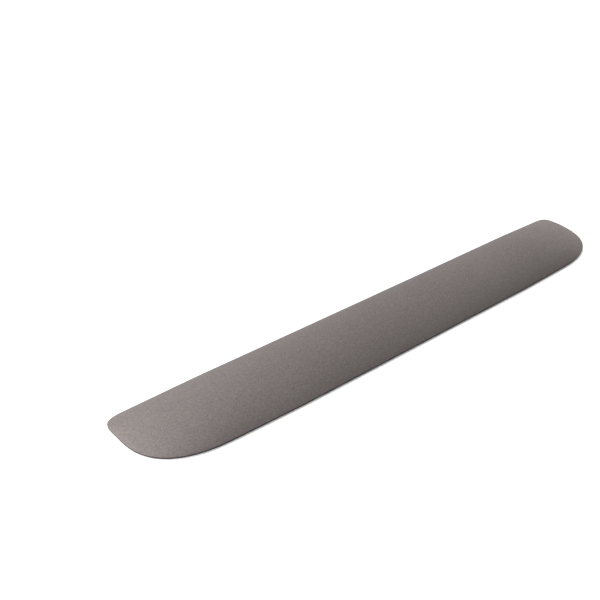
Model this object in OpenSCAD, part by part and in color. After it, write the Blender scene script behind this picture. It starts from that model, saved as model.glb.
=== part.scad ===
// Keyboard wrist rest: a low memory foam pad under a stretched fabric cover, glued to an anti-slip base.
// X runs along the pad, +Y points towards the keyboard and +Z is up.
// The origin is on the surface that the pad lies on, under the middle of the pad.

/* [Overall size] */
// Length along the front of the keyboard
rest_length = 470; // [300:5:600]
// Depth from the wrist side to the keyboard side
rest_depth = 64; // [60:1:90]
// Height of the crown above the table
rest_height = 16.5; // [12:0.5:25]

/* [Outline] */
// Length of the long corners on the wrist side
front_corner_length = 60; // [30:1:90]
// Fullness of the wrist-side corners: 2 is an ellipse, more is squarer
front_corner_fullness = 2.6; // [2:0.1:4]
// Length of the short corners on the keyboard side
back_corner_length = 20; // [12:1:40]
// Fullness of the keyboard-side corners
back_corner_fullness = 3.5; // [2:0.1:5]
// How far behind the middle of the pad the tip of each end lies
end_tip_y = 16; // [0:1:16]
// Length of the straight stretch at the tip of each end
end_flat = 8; // [4:1:10]
// How much the wrist side draws in towards the ends
front_taper = 3; // [0:0.5:6]
// Share of the length over which the wrist side stays straight
front_straight_share = 0.5; // [0.2:0.05:0.7]

/* [Crown] */
// Length over which the crown slopes down to each end
end_slope_length = 85; // [50:5:120]
// Height of the upright edge all round above the hem, where the crown starts
upright_edge = 0.15; // [0.1:0.05:1]

/* [Layers] */
// Thickness of the anti-slip base
base_thickness = 1.1; // [0.8:0.1:2]
// Thickness of the adhesive sheet on the base
base_adhesive_thickness = 0.15; // [0.1:0.05:0.3]
// Thickness of the fabric cover
cover_thickness = 0.9; // [0.6:0.1:1.4]
// Thickness of the pressed hem under the foam
hem_thickness = 0.3; // [0.2:0.05:0.6]
// Width of the hem that is turned in under the foam
hem_width = 6; // [4:0.5:8]
// Thickness of the hot-melt film that bonds the cover to the foam
film_thickness = 0.2; // [0.1:0.05:0.3]

/* [Hidden] */

// Free space between two curved layers, so that their facets never cut into each other
layer_gap = 0.05;
// How far the adhesive sheet stays back from the edge of the base
adhesive_setback = 0.5;

// Stations along the pad and strips across it
stations = 56;
strips = 14;

// Levels of the flat layers above the table
hem_bottom = base_thickness + base_adhesive_thickness;
hem_top = hem_bottom + hem_thickness;
edge_height = hem_top + upright_edge;

// How far each curved surface lies inside the outside of the cover
film_outside = cover_thickness + layer_gap;
film_inside = film_outside + film_thickness;
foam_outside = film_inside + layer_gap;
foam_step_inset = hem_width + layer_gap;

// Shape of the crown: the powers of its sections across and along the pad
crown_power = 2;
crown_root = 1.4;
slope_power = 2;
slope_root = 1.5;
taper_power = 1.2;

// Height of one quarter of a full rounded shape, 0 at its edge (t = 1) and 1 in the middle (t = 0)
function rounded(t, power, root) = pow(max(1 - pow(t, power), 0), 1 / root);

// Half the length and half the depth of a surface that lies inset within the outside
function half_length(inset) = rest_length / 2 - inset;
function half_depth(inset) = rest_depth / 2 - inset;

// How far the position x is into a corner of the given length: 0 where it starts, 1 at the tip
function into_corner(x, inset, corner_length) =
    min(max((abs(x) - (rest_length / 2 - corner_length)) / (corner_length - inset), 0), 1);

// How much the wrist side has drawn in at the position x
function taper_at(x) =
    front_taper
    * pow(max((abs(x) * 2 / rest_length - front_straight_share) / (1 - front_straight_share), 0), taper_power);

// The wrist side and the keyboard side of the outline at the position x
function front_y(x, inset) =
    let (corner_y = end_tip_y - end_flat / 2)
    corner_y - (corner_y + half_depth(inset) - taper_at(x))
    * rounded(into_corner(x, inset, front_corner_length), front_corner_fullness, front_corner_fullness);
function back_y(x, inset) =
    let (corner_y = end_tip_y + end_flat / 2)
    corner_y + (half_depth(inset) - corner_y)
    * rounded(into_corner(x, inset, back_corner_length), back_corner_fullness, back_corner_fullness);

// Position of a station, close together at the ends, and share of the depth of a strip, close together at the sides
function station_x(i, inset) = -half_length(inset) * cos(180 * i / stations);
function strip_share(j) = (1 - cos(180 * j / strips)) / 2;

// Point of the grid in plan
function plan_point(i, j, inset) =
    let (x = station_x(i, inset), front = front_y(x, inset), back = back_y(x, inset))
    [x, front + (back - front) * strip_share(j)];

// Height of the crown of a surface above its upright edge
function crown_height(i, j, inset) =
    (rest_height - edge_height - inset)
    * rounded(1 - min((half_length(inset) - abs(station_x(i, inset))) / (end_slope_length - inset), 1),
        slope_power, slope_root)
    * rounded(abs(2 * strip_share(j) - 1), crown_power, crown_root);

// A grid of points over the crown
function crown_grid(inset) =
    [for (i = [0:stations], j = [0:strips])
        concat(plan_point(i, j, inset), edge_height + crown_height(i, j, inset))];

// The grid's border as [station, strip] pairs: wrist side, right end, keyboard side, left end
border = concat(
    [for (i = [0:stations - 1]) [i, 0]],
    [for (j = [0:strips - 1]) [stations, j]],
    [for (i = [stations:-1:1]) [i, strips]],
    [for (j = [strips:-1:1]) [0, j]]);
grid_count = (stations + 1) * (strips + 1);
ring_count = 2 * (stations + 1);

// A closed ring of points at one level: the wrist side, then back along the keyboard side
function outline(inset) =
    concat(
        [for (i = [0:stations]) plan_point(i, 0, inset)],
        [for (i = [stations:-1:0]) plan_point(i, strips, inset)]);
function ring(inset, level) = [for (p = outline(inset)) concat(p, level)];

// The point indices that follow the border round a grid, and round a ring.
// A ring has no points between the corners of an end, so there its nearest corner repeats.
function grid_loop(first) = [for (b = border) first + b[0] * (strips + 1) + b[1]];
function ring_loop(first) = [for (b = border) first + (b[1] == strips ? ring_count - 1 - b[0] : b[0])];

// Triangles of a grid whose points start at index first, seen from above or from below
function grid_triangles(first, from_above) =
    [for (i = [0:stations - 1], j = [0:strips - 1])
        let (a = first + i * (strips + 1) + j, b = a + strips + 1)
        each from_above ? [[a, a + 1, b + 1], [a, b + 1, b]] : [[a, b + 1, a + 1], [a, b, b + 1]]];

// Triangles of the band between an upper and a lower loop, without those that have no area
function band_triangles(upper, lower) =
    [for (k = [0:len(border) - 1])
        let (next = (k + 1) % len(border), a = upper[k], b = upper[next], c = lower[next], d = lower[k])
        each concat(a == b ? [] : [[a, b, c]], c == d ? [] : [[a, c, d]])];

// Triangles that close a ring with a flat underside
function underside_triangles(first) =
    [for (i = [0:stations - 1])
        let (front = first + i, back = first + ring_count - 1 - i)
        each [[front, front + 1, back - 1], [front, back - 1, back]]];

// One closed solid: a crown on top, rings that lead down and under it, and a crown inside or a flat underside
module layered_solid(top, rings, inside = []) {
    first_inside = grid_count + len(rings) * ring_count;
    ring_loops = [for (r = [0:len(rings) - 1]) ring_loop(grid_count + r * ring_count)];
    hollow = len(inside) > 0;
    loops = concat([grid_loop(0)], ring_loops, hollow ? [grid_loop(first_inside)] : []);
    polyhedron(
        points = concat(top, [for (r = rings) each r], inside),
        faces = concat(
            grid_triangles(0, true),
            [for (n = [0:len(loops) - 2]) each band_triangles(loops[n], loops[n + 1])],
            hollow ? grid_triangles(first_inside, false) : underside_triangles(first_inside - ring_count)),
        convexity = 4);
}

// Flat layer with the pad's outline
module outline_sheet(inset, bottom, thickness) {
    translate([0, 0, bottom])
        linear_extrude(thickness)
            polygon(outline(inset));
}

// Stretched fabric shell that hugs the foam, with its hem turned in under it
module cover_fabric() {
    color([0.48, 0.46, 0.45])
        layered_solid(
            crown_grid(0),
            [ring(0, hem_bottom), ring(hem_width, hem_bottom), ring(hem_width, hem_top),
                ring(cover_thickness, hem_top)],
            crown_grid(cover_thickness));
}

// Thin hot-melt film between the fabric and the foam
module cover_adhesive_film() {
    color([0.85, 0.84, 0.80])
        layered_solid(
            crown_grid(film_outside),
            [ring(film_outside, hem_top + layer_gap), ring(film_inside, hem_top + layer_gap)],
            crown_grid(film_inside));
}

// Memory foam pad, stepped underneath where it rests on the hem
module memory_foam_core() {
    color([0.93, 0.90, 0.82])
        layered_solid(
            crown_grid(foam_outside),
            [ring(foam_outside, hem_top), ring(foam_step_inset, hem_top), ring(foam_step_inset, hem_bottom)]);
}

// Double-sided adhesive sheet that holds the hem and the foam on the base
module base_adhesive_sheet() {
    color([0.80, 0.76, 0.62])
        outline_sheet(adhesive_setback, base_thickness, base_adhesive_thickness);
}

// Rubber mat that grips the table
module anti_slip_base() {
    color([0.09, 0.09, 0.09])
        outline_sheet(0, 0, base_thickness);
}

cover_fabric();
cover_adhesive_film();
memory_foam_core();
base_adhesive_sheet();
anti_slip_base();
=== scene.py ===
"""Looks of the keyboard wrist rest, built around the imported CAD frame.

X runs along the pad, +Y points towards the keyboard, +Z is up, and all lengths are in metres.
"""
import math

import bmesh
import bpy
import numpy as np
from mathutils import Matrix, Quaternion, Vector, noise


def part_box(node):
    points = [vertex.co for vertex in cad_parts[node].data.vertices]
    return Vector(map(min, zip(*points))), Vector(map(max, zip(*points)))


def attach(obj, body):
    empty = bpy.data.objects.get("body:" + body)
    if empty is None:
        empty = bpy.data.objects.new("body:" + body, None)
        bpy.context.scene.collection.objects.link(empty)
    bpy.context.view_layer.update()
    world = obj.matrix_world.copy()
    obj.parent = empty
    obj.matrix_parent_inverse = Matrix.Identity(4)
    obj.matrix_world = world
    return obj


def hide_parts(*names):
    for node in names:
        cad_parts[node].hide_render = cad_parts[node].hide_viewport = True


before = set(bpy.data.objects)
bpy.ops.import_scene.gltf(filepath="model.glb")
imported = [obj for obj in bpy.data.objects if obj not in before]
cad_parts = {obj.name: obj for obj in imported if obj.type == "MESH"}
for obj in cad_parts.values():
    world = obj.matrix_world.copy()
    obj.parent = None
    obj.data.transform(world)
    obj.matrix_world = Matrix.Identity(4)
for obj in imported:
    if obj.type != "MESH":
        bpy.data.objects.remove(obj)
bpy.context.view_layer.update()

MM = 0.001

# ---------------------------------------------------------------------------
# Sizes that come from the frame
# ---------------------------------------------------------------------------
COVER_LOW, COVER_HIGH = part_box("cover_fabric")
HALF_LENGTH = (COVER_HIGH.x - COVER_LOW.x) / 2
HALF_DEPTH = (COVER_HIGH.y - COVER_LOW.y) / 2
CROWN_TOP = COVER_HIGH.z
HEM_BOTTOM = COVER_LOW.z
BASE_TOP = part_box("anti_slip_base")[1].z

# ---------------------------------------------------------------------------
# Shape of the pad, as the CAD model has it
# ---------------------------------------------------------------------------
FRONT_CORNER_LENGTH = 60 * MM
FRONT_CORNER_FULLNESS = 2.6
BACK_CORNER_LENGTH = 20 * MM
BACK_CORNER_FULLNESS = 3.5
END_TIP_Y = 16 * MM
END_FLAT = 8 * MM
FRONT_TAPER = 3 * MM
FRONT_STRAIGHT_SHARE = 0.5
TAPER_POWER = 1.2
END_SLOPE_LENGTH = 85 * MM
CROWN_POWER = 2.0
CROWN_ROOT = 1.4
SLOPE_POWER = 2.0
SLOPE_ROOT = 1.5

# Layers, counted inwards from the outside of the cover
HEM_THICKNESS = 0.3 * MM
UPRIGHT_EDGE = 0.15 * MM
HEM_WIDTH = 6 * MM
COVER_THICKNESS = 0.9 * MM
FILM_OUTSIDE = 0.95 * MM
FILM_INSIDE = 1.15 * MM
FOAM_OUTSIDE = 1.2 * MM
HEM_TOP = HEM_BOTTOM + HEM_THICKNESS
EDGE_HEIGHT = HEM_TOP + UPRIGHT_EDGE

# Fineness of the meshes: stations along the pad, strips across it
STATIONS = 240
STRIPS = 44
CLOTH_STATIONS = 120
CLOTH_STRIPS = 22

# Cloth simulation of the stretched cover, and how much lower the crown starts, because it swells
CLOTH_QUALITY = 8
CLOTH_MASS = 0.2
CLOTH_STRETCH_STIFFNESS = 40
CLOTH_SHEAR_STIFFNESS = 20
CLOTH_BENDING_STIFFNESS = 2
CLOTH_PRESSURE = 4.0
CLOTH_FRAMES = 20
CLOTH_MOST_MOVEMENT = 0.5 * MM
NO_MOVEMENT = 1e-9
SWELL_ROOM = 0.35 * MM
SMOOTHING_PASSES = 3

# Soft waves of the cover, as (size, height), and the height over which they fade in from the edge
WAVES = ((0.045, 0.10 * MM), (0.018, 0.03 * MM))
WAVE_FADE_HEIGHT = 4 * MM

# Angles of the rings that round the cover's lower edge and the inner edge of its hem
EDGE_TURN_DEGREES = (75, 60, 45, 30, 15, 0)
HEM_TIP_DEGREES = (0, 45, 90, 135, 180)

# Base, set back a little under the cover
BASE_SETBACK = 0.3 * MM
BASE_ROUNDING = 0.2 * MM

# Studs under the base, and the plain rim round them
STUD_PITCH = 4.0 * MM
STUD_GAP = 1.0 * MM
STUD_SLOPE = 0.25 * MM
STUD_HEIGHT = 0.35 * MM
STUD_OVERRUN = 0.05 * MM
STUD_RIM = 2.5 * MM
STUD_MARGIN = 2 * STUD_PITCH
SLIVER_SIZE = 0.005 * MM

# Materials: colours run from dark to light. A roughness is its lowest value and how much a
# pattern adds to it, a tone is a pattern's share of the colour, and a relief is a depth.
KNIT_COLOURS = ((0.035, 0.030, 0.029), (0.138, 0.121, 0.116), (0.262, 0.232, 0.223))
KNIT_COLUMN = 0.8 * MM
KNIT_STITCH = 0.6 * MM
KNIT_LEAN = 1.4
KNIT_TONE = 0.16
KNIT_ROUGHNESS = (0.86, 0.12)
KNIT_RELIEF = 0.12 * MM
KNIT_BUMP_STRENGTH = 0.8
KNIT_SPECULAR = 0.05
KNIT_SHEEN = 0.04
KNIT_SHEEN_ROUGHNESS = 0.45
KNIT_SHEEN_TINT = (0.95, 0.93, 0.92)
NAP_SIZE = 0.8 * MM
NAP_TONE = 0.60
NAP_RELIEF_SHARE = 0.5
MELANGE_SIZE = 2.0 * MM
MELANGE_TONE = 0.22
WEAR_SIZE = 60 * MM
WEAR_TONE = 0.08

RUBBER_COLOURS = ((0.016, 0.016, 0.016), (0.024, 0.024, 0.024), (0.040, 0.039, 0.038))
RUBBER_GRAIN_SIZE = 0.35 * MM
RUBBER_DUST_SIZE = 9 * MM
RUBBER_ROUGHNESS = (0.62, 0.25)
RUBBER_RELIEF = 0.05 * MM
RUBBER_BUMP_STRENGTH = 0.5
RUBBER_SPECULAR = 0.35

FOAM_COLOURS = ((0.66, 0.60, 0.47), (0.80, 0.75, 0.62))
FOAM_CELL_SIZE = 0.8 * MM
FOAM_CELL_TONE = 0.6
FOAM_CLOUD_SIZE = 20 * MM
FOAM_CLOUD_TONE = 0.4
FOAM_ROUGHNESS = (0.8, 0.15)
FOAM_RELIEF = 0.2 * MM
FOAM_BUMP_STRENGTH = 0.6
FOAM_SUBSURFACE = 0.15
FOAM_SUBSURFACE_SCALE = 2 * MM

FILM_COLOURS = ((0.68, 0.66, 0.60), (0.78, 0.77, 0.72))
FILM_CLOUD_SIZE = 12 * MM
ADHESIVE_COLOURS = ((0.50, 0.43, 0.26), (0.62, 0.55, 0.36))
ADHESIVE_CLOUD_SIZE = 8 * MM
ADHESIVE_GRAIN_SIZE = 0.5 * MM
ADHESIVE_ROUGHNESS = (0.3, 0.25)
ADHESIVE_RELIEF = 0.03 * MM
ADHESIVE_BUMP_STRENGTH = 0.4

# Floor
FLOOR_COLOUR = (0.88, 0.88, 0.88)
FLOOR_ROUGHNESS = 0.9
FLOOR_SIZE = 6.0
FLOOR_LEVEL = -0.2 * MM

# Camera: azimuth from +Y towards +X, elevation above the table, and roll, in degrees
CAMERA_AIM = (-0.0478, 0.0547, 0.008)
CAMERA_AZIMUTH = 44.476
CAMERA_ELEVATION = 33.645
CAMERA_ROLL = 5.033
CAMERA_DISTANCE = 0.7056
CAMERA_LENS = 55.985
CAMERA_SENSOR = 36.0

# Lights: name, (azimuth from +X towards +Y, elevation) in degrees, distance, size, power in watts
WORLD_STRENGTH = 0.4
SOFTBOX_AIM = (0, 0, 0)
SOFTBOXES = (
    ("key", (55, 53), 1.8, 1.0, 29.0),
    ("left_fill", (174, 21), 0.5, 0.40, 2.9),
    ("right_fill", (8, 14), 0.5, 0.25, 0.95),
)


# ---------------------------------------------------------------------------
# The pad's outline and crown
# ---------------------------------------------------------------------------
def rounded(t, power, root):
    """Height of a quarter of a rounded shape: 1 in the middle (t = 0) and 0 at its edge (t = 1)."""
    return np.maximum(1 - np.power(np.clip(t, 0, 1), power), 0) ** (1 / root)


def into_corner(x, inset, corner_length):
    """How far x is into a corner: 0 where the corner starts, 1 at the tip of the pad."""
    start = HALF_LENGTH - corner_length
    return np.clip((np.abs(x) - start) / (corner_length - inset), 0, 1)


def front_y(x, inset):
    """The wrist side of the outline, inset within the outside of the cover."""
    corner_y = END_TIP_Y - END_FLAT / 2
    along = np.abs(x) / HALF_LENGTH
    tapering = np.clip((along - FRONT_STRAIGHT_SHARE) / (1 - FRONT_STRAIGHT_SHARE), 0, 1)
    depth = corner_y + HALF_DEPTH - inset - FRONT_TAPER * tapering ** TAPER_POWER
    corner = into_corner(x, inset, FRONT_CORNER_LENGTH)
    return corner_y - depth * rounded(corner, FRONT_CORNER_FULLNESS, FRONT_CORNER_FULLNESS)


def back_y(x, inset):
    """The keyboard side of the outline, inset within the outside of the cover."""
    corner_y = END_TIP_Y + END_FLAT / 2
    depth = HALF_DEPTH - inset - corner_y
    corner = into_corner(x, inset, BACK_CORNER_LENGTH)
    return corner_y + depth * rounded(corner, BACK_CORNER_FULLNESS, BACK_CORNER_FULLNESS)


def plan_grid(inset, stations, strips):
    """X, Y and share of the depth of a grid over the pad, closer together at the ends and sides."""
    i = np.arange(stations + 1)[:, None]
    j = np.arange(strips + 1)[None, :]
    share = (1 - np.cos(np.pi * j / strips)) / 2
    x = -(HALF_LENGTH - inset) * np.cos(np.pi * i / stations) + 0 * share
    front, back = front_y(x, inset), back_y(x, inset)
    return x, front + (back - front) * share, share + 0 * x


def crown_grid(inset, stations, strips):
    """Points of the pad's domed surface, inset within the outside of the cover."""
    x, y, share = plan_grid(inset, stations, strips)
    to_end = (HALF_LENGTH - inset - np.abs(x)) / (END_SLOPE_LENGTH - inset)
    along = rounded(1 - np.minimum(to_end, 1), SLOPE_POWER, SLOPE_ROOT)
    across = rounded(np.abs(2 * share - 1), CROWN_POWER, CROWN_ROOT)
    z = EDGE_HEIGHT + (CROWN_TOP - SWELL_ROOM - EDGE_HEIGHT - inset) * along * across
    return np.stack([x, y, z], axis=-1)


# ---------------------------------------------------------------------------
# The cover's stretched surface
# ---------------------------------------------------------------------------
def grid_faces(stations, strips, first=0):
    """Quads of a grid of points, seen from above."""
    i, j = np.meshgrid(np.arange(stations), np.arange(strips), indexing="ij")
    a = (first + i * (strips + 1) + j).ravel()
    return np.stack([a, a + strips + 1, a + strips + 2, a + 1], axis=1)


def new_mesh_object(name, points, faces):
    """A mesh object from arrays of points and faces."""
    mesh = bpy.data.meshes.new(name)
    mesh.from_pydata(points.tolist(), [], [list(f) for f in faces])
    mesh.validate()
    obj = bpy.data.objects.new(name, mesh)
    bpy.context.scene.collection.objects.link(obj)
    return obj


def evaluated_points(obj):
    """The points of an object's mesh with its modifiers applied."""
    evaluated = obj.evaluated_get(bpy.context.evaluated_depsgraph_get())
    mesh = evaluated.to_mesh()
    points = np.zeros(len(mesh.vertices) * 3)
    mesh.vertices.foreach_get("co", points)
    evaluated.to_mesh_clear()
    return points.reshape(-1, 3)


def simulate_cover():
    """Stretches the cover by cloth simulation and returns how far each point of its grid moved."""
    rest = crown_grid(0, CLOTH_STATIONS, CLOTH_STRIPS)
    faces = grid_faces(CLOTH_STATIONS, CLOTH_STRIPS)
    cloth_obj = new_mesh_object("cloth_source", rest.reshape(-1, 3), faces)
    edge = np.zeros(rest.shape[:2], bool)
    edge[[0, -1], :] = True
    edge[:, [0, -1]] = True
    pinned = cloth_obj.vertex_groups.new(name="pinned_edge")
    pinned.add([int(v) for v in np.flatnonzero(edge.ravel())], 1.0, "REPLACE")

    cloth = cloth_obj.modifiers.new("stretch", "CLOTH")
    cloth.settings.quality = CLOTH_QUALITY
    cloth.settings.mass = CLOTH_MASS
    cloth.settings.tension_stiffness = CLOTH_STRETCH_STIFFNESS
    cloth.settings.compression_stiffness = CLOTH_STRETCH_STIFFNESS
    cloth.settings.shear_stiffness = CLOTH_SHEAR_STIFFNESS
    cloth.settings.bending_stiffness = CLOTH_BENDING_STIFFNESS
    cloth.settings.vertex_group_mass = pinned.name
    cloth.settings.use_pressure = True
    cloth.settings.uniform_pressure_force = CLOTH_PRESSURE
    cloth.settings.effector_weights.gravity = 0
    cloth.collision_settings.use_collision = False
    cloth.point_cache.frame_start = 1
    cloth.point_cache.frame_end = CLOTH_FRAMES
    for step in range(1, CLOTH_FRAMES + 1):
        bpy.context.scene.frame_set(step)
    moved = evaluated_points(cloth_obj).reshape(rest.shape) - rest
    bpy.data.objects.remove(cloth_obj)
    bpy.context.scene.frame_set(1)

    distance = np.linalg.norm(moved, axis=-1, keepdims=True)
    capped = CLOTH_MOST_MOVEMENT * np.tanh(distance / CLOTH_MOST_MOVEMENT)
    return moved * capped / np.maximum(distance, NO_MOVEMENT)


def finer(coarse):
    """A grid of vectors, read between its points to fill the fine grid, then smoothed."""
    i = np.linspace(0, coarse.shape[0] - 1, STATIONS + 1)
    j = np.linspace(0, coarse.shape[1] - 1, STRIPS + 1)
    i0 = np.minimum(i.astype(int), coarse.shape[0] - 2)
    j0 = np.minimum(j.astype(int), coarse.shape[1] - 2)
    ti = (i - i0)[:, None, None]
    tj = (j - j0)[None, :, None]
    corner = [[coarse[i0 + a][:, j0 + b] for b in (0, 1)] for a in (0, 1)]
    near = corner[0][0] * (1 - tj) + corner[0][1] * tj
    far = corner[1][0] * (1 - tj) + corner[1][1] * tj
    fine = near * (1 - ti) + far * ti
    for _ in range(SMOOTHING_PASSES):
        fine[1:-1] = (fine[:-2] + 2 * fine[1:-1] + fine[2:]) / 4
        fine[:, 1:-1] = (fine[:, :-2] + 2 * fine[:, 1:-1] + fine[:, 2:]) / 4
    return fine


def hand_laid_waves(surface):
    """The slight, soft unevenness of fabric over foam, as heights that fade out to the edge."""
    above_edge = np.clip((surface[..., 2] - EDGE_HEIGHT) / WAVE_FADE_HEIGHT, 0, 1)
    heights = np.zeros(surface.shape[:2])
    for size, height in WAVES:
        for place in np.ndindex(heights.shape):
            heights[place] += height * noise.noise(Vector(surface[place]) / size)
    return heights * above_edge


# ---------------------------------------------------------------------------
# Closed layers of the pad
# ---------------------------------------------------------------------------
# The border of the fine grid as (station, strip): wrist side, right end, keyboard side, left end
BORDER = (
    [(i, 0) for i in range(STATIONS)]
    + [(STATIONS, j) for j in range(STRIPS)]
    + [(i, STRIPS) for i in range(STATIONS, 0, -1)]
    + [(0, j) for j in range(STRIPS, 0, -1)])


def ring(inset, level):
    """Points round the pad's outline, inset within it, at one level."""
    x, y, _ = plan_grid(inset, STATIONS, STRIPS)
    return np.array([(x[place], y[place], level) for place in BORDER])


def closed_layer(name, top, rings, bottom):
    """One closed mesh: a grid on top, rings that lead down and round, and a grid that closes it."""
    width = STRIPS + 1
    grid_count = (STATIONS + 1) * width
    first_bottom = grid_count + sum(len(r) for r in rings)
    border = np.array([i * width + j for i, j in BORDER])
    loops = [border]
    for k, points in enumerate(rings):
        loops.append(grid_count + k * len(BORDER) + np.arange(len(points)))
    loops.append(first_bottom + border)
    faces = [grid_faces(STATIONS, STRIPS), grid_faces(STATIONS, STRIPS, first_bottom)[:, ::-1]]
    for upper, lower in zip(loops[:-1], loops[1:]):
        faces.append(np.stack([upper, lower, np.roll(lower, -1), np.roll(upper, -1)], axis=1))
    points = np.concatenate([top.reshape(-1, 3), *rings, bottom.reshape(-1, 3)])
    obj = new_mesh_object(name, points, np.concatenate(faces))
    for face in obj.data.polygons:
        face.use_smooth = True
    return obj


def flat_grid(inset, level):
    """Points of a flat surface with the pad's outline, inset within it, at one level."""
    x, y, _ = plan_grid(inset, STATIONS, STRIPS)
    return np.stack([x, y, np.full_like(x, level)], axis=-1)


def make_cover(shape_change):
    """The knit cover: one shell that rounds under the pad at the edge, with its hem turned in."""
    wall = HEM_THICKNESS + UPRIGHT_EDGE
    turn = [
        ring(wall * (1 - math.sin(a)), HEM_BOTTOM + wall * (1 - math.cos(a)))
        for a in np.radians(EDGE_TURN_DEGREES)]
    radius = HEM_THICKNESS / 2
    hem_tip = [
        ring(HEM_WIDTH + radius * math.sin(a), HEM_BOTTOM + radius * (1 - math.cos(a)))
        for a in np.radians(HEM_TIP_DEGREES)]
    inner_edge = [ring(COVER_THICKNESS, HEM_TOP)]
    return closed_layer(
        "cover_knit",
        crown_grid(0, STATIONS, STRIPS) + shape_change,
        turn + hem_tip + inner_edge,
        crown_grid(COVER_THICKNESS, STATIONS, STRIPS) + shape_change)


def make_film(shape_change):
    """The hot-melt film between the cover and the foam."""
    return closed_layer(
        "bonding_film",
        crown_grid(FILM_OUTSIDE, STATIONS, STRIPS) + shape_change,
        [],
        crown_grid(FILM_INSIDE, STATIONS, STRIPS) + shape_change)


def make_foam(shape_change):
    """The memory foam, with a step underneath where it rests on the hem."""
    step_inset = HEM_WIDTH + HEM_THICKNESS
    return closed_layer(
        "foam_pad",
        crown_grid(FOAM_OUTSIDE, STATIONS, STRIPS) + shape_change,
        [ring(FOAM_OUTSIDE, HEM_TOP), ring(step_inset, HEM_TOP)],
        flat_grid(step_inset, HEM_BOTTOM))


# ---------------------------------------------------------------------------
# Anti-slip base with moulded diamond studs underneath
# ---------------------------------------------------------------------------
def outline_block(name, profile):
    """A solid with the pad's outline, from (inset, level) pairs from its underside to its top."""
    rings = [ring(inset, level) for inset, level in profile]
    count = len(rings[0])
    loops = [np.arange(count) + k * count for k in range(len(rings))]
    faces = [tuple(loops[0][::-1]), tuple(loops[-1])]
    for lower, upper in zip(loops[:-1], loops[1:]):
        faces += zip(lower, np.roll(lower, -1), np.roll(upper, -1), upper)
    return new_mesh_object(name, np.concatenate(rings), faces)


def cut(target, tool, operation):
    """Applies a boolean operation with a tool to the target's mesh, and removes the tool."""
    step = target.modifiers.new("cut", "BOOLEAN")
    step.operation = operation
    step.solver = "EXACT"
    step.object = tool
    evaluated = target.evaluated_get(bpy.context.evaluated_depsgraph_get())
    finished = bpy.data.meshes.new_from_object(evaluated)
    target.modifiers.clear()
    target.data = finished
    bpy.data.objects.remove(tool)


def merge_slivers(obj):
    """Merges the points and edges that a cut leaves almost on top of each other."""
    bm = bmesh.new()
    bm.from_mesh(obj.data)
    bmesh.ops.remove_doubles(bm, verts=bm.verts, dist=SLIVER_SIZE)
    bmesh.ops.dissolve_degenerate(bm, edges=bm.edges, dist=SLIVER_SIZE)
    bmesh.ops.triangulate(bm, faces=bm.faces)
    bm.to_mesh(obj.data)
    bm.free()


def groove_lines(half_span):
    """Places across a row of grooves with sloped sides, and which of the places are deep."""
    deep_half = STUD_GAP / 2
    count = math.ceil(half_span / STUD_PITCH)
    places, deep = [], []
    for k in range(-count, count + 1):
        middle = k * STUD_PITCH
        places += [middle - deep_half - STUD_SLOPE, middle - deep_half]
        places += [middle + deep_half, middle + deep_half + STUD_SLOPE]
        deep += [False, True, True, False]
    return np.array(places), np.array(deep)


def make_groove_block():
    """A slab below the base that rises into it at the grooves between the diagonal rows of studs."""
    places, deep = groove_lines((HALF_LENGTH + HALF_DEPTH) / math.sqrt(2) + STUD_PITCH)
    u, v = np.meshgrid(places, places, indexing="ij")
    grooved = deep[:, None] | deep[None, :]
    x, y = (u - v) / math.sqrt(2), (u + v) / math.sqrt(2)
    z = np.where(grooved, STUD_HEIGHT, -STUD_OVERRUN)
    faces = grid_faces(len(places) - 1, len(places) - 1)
    near_y = np.abs(y.ravel()[faces]).max(axis=1) < HALF_DEPTH + STUD_MARGIN
    near_x = np.abs(x.ravel()[faces]).max(axis=1) < HALF_LENGTH + STUD_MARGIN
    points = np.stack([x.ravel(), y.ravel(), z.ravel()], axis=1)
    block = new_mesh_object("groove_block", points, faces[near_x & near_y])

    bm = bmesh.new()
    bm.from_mesh(block.data)
    loose = [vert for vert in bm.verts if not vert.link_faces]
    bmesh.ops.delete(bm, geom=loose, context="VERTS")
    rim = [edge for edge in bm.edges if edge.is_boundary]
    drawn_down = bmesh.ops.extrude_edge_only(bm, edges=rim)["geom"]
    for part in drawn_down:
        if isinstance(part, bmesh.types.BMVert):
            part.co.z = -BASE_TOP
    drawn_edges = [part for part in drawn_down if isinstance(part, bmesh.types.BMEdge)]
    bmesh.ops.holes_fill(bm, edges=[edge for edge in drawn_edges if edge.is_boundary])
    bmesh.ops.recalc_face_normals(bm, faces=bm.faces)
    bm.to_mesh(block.data)
    bm.free()
    return block


def make_base():
    """The rubber base: rounded at its edges, with a plain rim round its studs."""
    side = BASE_SETBACK
    face = BASE_SETBACK + BASE_ROUNDING
    base = outline_block("rubber_base", (
        (face, 0), (side, BASE_ROUNDING), (side, BASE_TOP - BASE_ROUNDING), (face, BASE_TOP)))
    grooves = make_groove_block()
    stud_area = outline_block("stud_area", ((STUD_RIM, -BASE_TOP), (STUD_RIM, BASE_TOP)))
    cut(grooves, stud_area, "INTERSECT")
    cut(base, grooves, "DIFFERENCE")
    merge_slivers(base)
    return base


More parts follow.
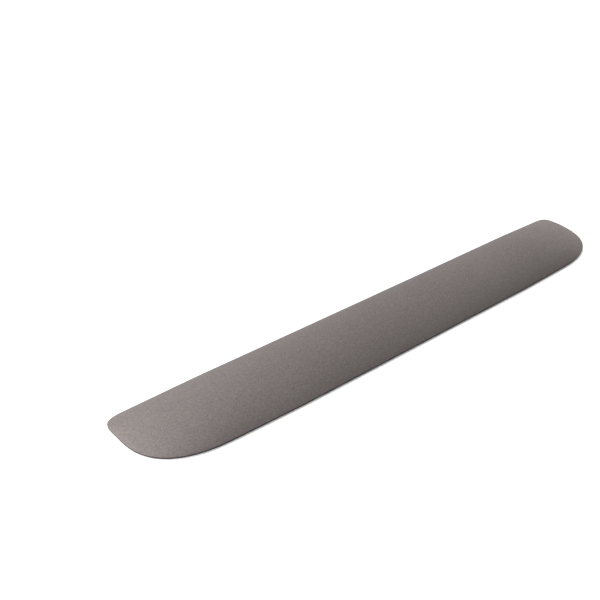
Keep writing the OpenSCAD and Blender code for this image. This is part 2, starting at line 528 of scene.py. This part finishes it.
# ---------------------------------------------------------------------------
# Materials
# ---------------------------------------------------------------------------
class Nodes:
    """A material's node tree, with short calls that add nodes and link their inputs."""

    def __init__(self, name):
        self.material = bpy.data.materials.new(name)
        self.material.use_nodes = True
        self.tree = self.material.node_tree
        self.shader = self.tree.nodes["Principled BSDF"]
        self.place = self.add("ShaderNodeTexCoord").outputs["Object"]

    def feed(self, socket, value):
        """Links a socket to the output of a node, or gives it a value."""
        if isinstance(value, bpy.types.NodeSocket):
            self.tree.links.new(value, socket)
        else:
            socket.default_value = value

    def add(self, kind, **inputs):
        """A node of a kind, with its inputs by name."""
        node = self.tree.nodes.new(kind)
        for name, value in inputs.items():
            self.feed(node.inputs[name], value)
        return node

    def calc(self, operation, *values):
        """The result of a Math node."""
        node = self.tree.nodes.new("ShaderNodeMath")
        node.operation = operation
        for socket, value in zip(node.inputs, values):
            self.feed(socket, value)
        return node.outputs[0]

    def mix(self, *parts):
        """The sum of (pattern, share) pairs."""
        total = None
        for pattern, share in parts:
            part = self.calc("MULTIPLY", pattern, share)
            total = part if total is None else self.calc("ADD", total, part)
        return total

    def noise(self, size, detail=2.0, roughness=0.5):
        """Noise from 0 to 1 whose features are about size across."""
        node = self.add(
            "ShaderNodeTexNoise",
            Vector=self.place, Scale=1 / size, Detail=detail, Roughness=roughness)
        return node.outputs["Fac"]

    def colour(self, share, colours):
        """Gives the shader a colour ramp through evenly spaced colours."""
        ramp = self.tree.nodes.new("ShaderNodeValToRGB")
        steps = ramp.color_ramp.elements
        while len(steps) < len(colours):
            steps.new(0.5)
        for k, colour in enumerate(colours):
            steps[k].position = k / (len(colours) - 1)
            steps[k].color = (*colour, 1)
        self.feed(ramp.inputs["Fac"], share)
        self.feed(self.shader.inputs["Base Color"], ramp.outputs["Color"])

    def roughness(self, lowest_and_added, pattern):
        """Gives the shader a roughness, higher where the pattern is strong."""
        lowest, added = lowest_and_added
        rough = self.calc("ADD", lowest, self.calc("MULTIPLY", pattern, added))
        self.feed(self.shader.inputs["Roughness"], rough)

    def bump(self, height, relief, strength):
        """Gives the shader a bump."""
        node = self.add("ShaderNodeBump", Height=height, Distance=relief, Strength=strength)
        self.feed(self.shader.inputs["Normal"], node.outputs["Normal"])

    def even(self, **values):
        """Sets values that are the same all over the surface on the shader's own sockets."""
        for name, value in values.items():
            self.shader.inputs[name.replace("_", " ")].default_value = value


def knit_material():
    """Warm grey fine jersey: columns of V-shaped stitches under a short brushed nap."""
    net = Nodes("grey_knit")
    axes = net.add("ShaderNodeSeparateXYZ", Vector=net.place)
    # Columns run along the pad. Within each, a stitch's two legs lean apart from its middle line.
    column = net.calc("FRACT", net.calc("DIVIDE", axes.outputs["Y"], KNIT_COLUMN))
    from_middle = net.calc("ABSOLUTE", net.calc("SUBTRACT", column, 0.5))
    lean = net.calc("MULTIPLY", from_middle, KNIT_LEAN)
    stitch = net.calc("ADD", net.calc("DIVIDE", axes.outputs["X"], KNIT_STITCH), lean)
    stitch_wave = net.calc("SINE", net.calc("MULTIPLY", stitch, math.pi))
    leg_wave = net.calc("SINE", net.calc("MULTIPLY", from_middle, 2 * math.pi))
    knit = net.calc("MULTIPLY", net.calc("ABSOLUTE", leg_wave), net.calc("ABSOLUTE", stitch_wave))

    nap = net.noise(NAP_SIZE)
    melange = net.noise(MELANGE_SIZE, detail=3.0, roughness=0.6)
    wear = net.noise(WEAR_SIZE)
    tone = net.mix((melange, MELANGE_TONE), (nap, NAP_TONE), (wear, WEAR_TONE), (knit, KNIT_TONE))
    net.colour(tone, KNIT_COLOURS)
    net.roughness(KNIT_ROUGHNESS, nap)
    height = net.calc("ADD", knit, net.calc("MULTIPLY", nap, NAP_RELIEF_SHARE))
    net.bump(height, KNIT_RELIEF, KNIT_BUMP_STRENGTH)
    net.even(
        Specular_IOR_Level=KNIT_SPECULAR,
        Sheen_Weight=KNIT_SHEEN,
        Sheen_Roughness=KNIT_SHEEN_ROUGHNESS,
        Sheen_Tint=(*KNIT_SHEEN_TINT, 1))
    return net.material


def rubber_material():
    """Black rubber with a fine matt grain and a little dust."""
    net = Nodes("black_rubber")
    grain = net.noise(RUBBER_GRAIN_SIZE, detail=3.0, roughness=0.6)
    dust = net.noise(RUBBER_DUST_SIZE, detail=4.0, roughness=0.65)
    net.colour(dust, RUBBER_COLOURS)
    net.roughness(RUBBER_ROUGHNESS, dust)
    net.bump(grain, RUBBER_RELIEF, RUBBER_BUMP_STRENGTH)
    net.even(Specular_IOR_Level=RUBBER_SPECULAR)
    return net.material


def foam_material():
    """Cream memory foam with small open cells."""
    net = Nodes("cream_foam")
    voronoi = net.add("ShaderNodeTexVoronoi", Vector=net.place, Scale=1 / FOAM_CELL_SIZE)
    cells = voronoi.outputs["Distance"]
    cloudy = net.noise(FOAM_CLOUD_SIZE)
    net.colour(net.mix((cells, FOAM_CELL_TONE), (cloudy, FOAM_CLOUD_TONE)), FOAM_COLOURS)
    net.roughness(FOAM_ROUGHNESS, cells)
    net.bump(cells, FOAM_RELIEF, FOAM_BUMP_STRENGTH)
    net.even(Subsurface_Weight=FOAM_SUBSURFACE, Subsurface_Scale=FOAM_SUBSURFACE_SCALE)
    return net.material


def adhesive_material(name, colours, cloud_size):
    """A thin adhesive layer, slightly cloudy and glossy."""
    net = Nodes(name)
    grain = net.noise(ADHESIVE_GRAIN_SIZE)
    net.colour(net.noise(cloud_size, detail=3.0), colours)
    net.roughness(ADHESIVE_ROUGHNESS, grain)
    net.bump(grain, ADHESIVE_RELIEF, ADHESIVE_BUMP_STRENGTH)
    return net.material


def floor_material():
    """A plain pale studio table."""
    net = Nodes("pale_table")
    net.even(
        Base_Color=(*FLOOR_COLOUR, 1),
        Roughness=FLOOR_ROUGHNESS,
        Specular_IOR_Level=0.0)
    return net.material


def dress(obj, material):
    """Gives a piece its only material."""
    obj.data.materials.clear()
    obj.data.materials.append(material)


# ---------------------------------------------------------------------------
# Assembly
# ---------------------------------------------------------------------------
def build_pad():
    """The finer pieces, each in place of its CAD node, and a material for the adhesive sheet."""
    moved = finer(simulate_cover())
    moved[..., 2] += hand_laid_waves(crown_grid(0, STATIONS, STRIPS))

    cover = make_cover(moved)
    film = make_film(moved)
    foam = make_foam(moved)
    base = make_base()
    dress(cover, knit_material())
    dress(film, adhesive_material("milky_film", FILM_COLOURS, FILM_CLOUD_SIZE))
    dress(foam, foam_material())
    dress(base, rubber_material())

    stands_for = (
        (cover, "cover_fabric"),
        (film, "cover_adhesive_film"),
        (foam, "memory_foam_core"),
        (base, "anti_slip_base"))
    for piece, node in stands_for:
        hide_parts(node)
        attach(piece, "root")

    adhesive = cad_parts["base_adhesive_sheet"]
    amber = adhesive_material("amber_adhesive", ADHESIVE_COLOURS, ADHESIVE_CLOUD_SIZE)
    for material_slot in adhesive.material_slots:
        material_slot.link = "OBJECT"
        material_slot.material = amber


def build_floor():
    """The plain pale floor."""
    half = FLOOR_SIZE / 2
    corners = np.array([
        (-half, -half, FLOOR_LEVEL),
        (half, -half, FLOOR_LEVEL),
        (half, half, FLOOR_LEVEL),
        (-half, half, FLOOR_LEVEL)])
    floor = new_mesh_object("floor", corners, [(0, 1, 2, 3)])
    dress(floor, floor_material())


def add_softbox(name, direction, distance, size, power):
    """A square area light that faces the pad from a direction given as azimuth and elevation."""
    azimuth, elevation = (math.radians(a) for a in direction)
    towards = Vector((
        math.cos(azimuth) * math.cos(elevation),
        math.sin(azimuth) * math.cos(elevation),
        math.sin(elevation)))
    light = bpy.data.lights.new(name, "AREA")
    light.shape = "SQUARE"
    light.size = size
    light.energy = power
    lamp = bpy.data.objects.new(name, light)
    lamp.location = Vector(SOFTBOX_AIM) + towards * distance
    lamp.rotation_mode = "QUATERNION"
    lamp.rotation_quaternion = (-towards).to_track_quat("-Z", "Y")
    bpy.context.scene.collection.objects.link(lamp)


def build_lights():
    """Plain soft studio light: an even white surround and the softboxes."""
    world = bpy.data.worlds.new("studio")
    world.use_nodes = True
    background = world.node_tree.nodes["Background"]
    background.inputs["Color"].default_value = (1, 1, 1, 1)
    background.inputs["Strength"].default_value = WORLD_STRENGTH
    bpy.context.scene.world = world
    for name, direction, distance, size, power in SOFTBOXES:
        add_softbox(name, direction, distance, size, power)
    bpy.context.scene.view_settings.view_transform = "Standard"


def build_camera():
    """The camera, aimed at a point on the table by its azimuth, elevation and roll."""
    azimuth = math.radians(CAMERA_AZIMUTH)
    elevation = math.radians(CAMERA_ELEVATION)
    roll = math.radians(CAMERA_ROLL)
    forward = Vector((
        math.sin(azimuth) * math.cos(elevation),
        math.cos(azimuth) * math.cos(elevation),
        -math.sin(elevation)))
    data = bpy.data.cameras.new("camera")
    data.lens = CAMERA_LENS
    data.sensor_width = CAMERA_SENSOR
    camera = bpy.data.objects.new("camera", data)
    camera.location = Vector(CAMERA_AIM) - forward * CAMERA_DISTANCE
    camera.rotation_mode = "QUATERNION"
    camera.rotation_quaternion = forward.to_track_quat("-Z", "Y") @ Quaternion((0, 0, 1), roll)
    bpy.context.scene.collection.objects.link(camera)
    bpy.context.scene.camera = camera


build_camera()
build_pad()
build_floor()
build_lights()
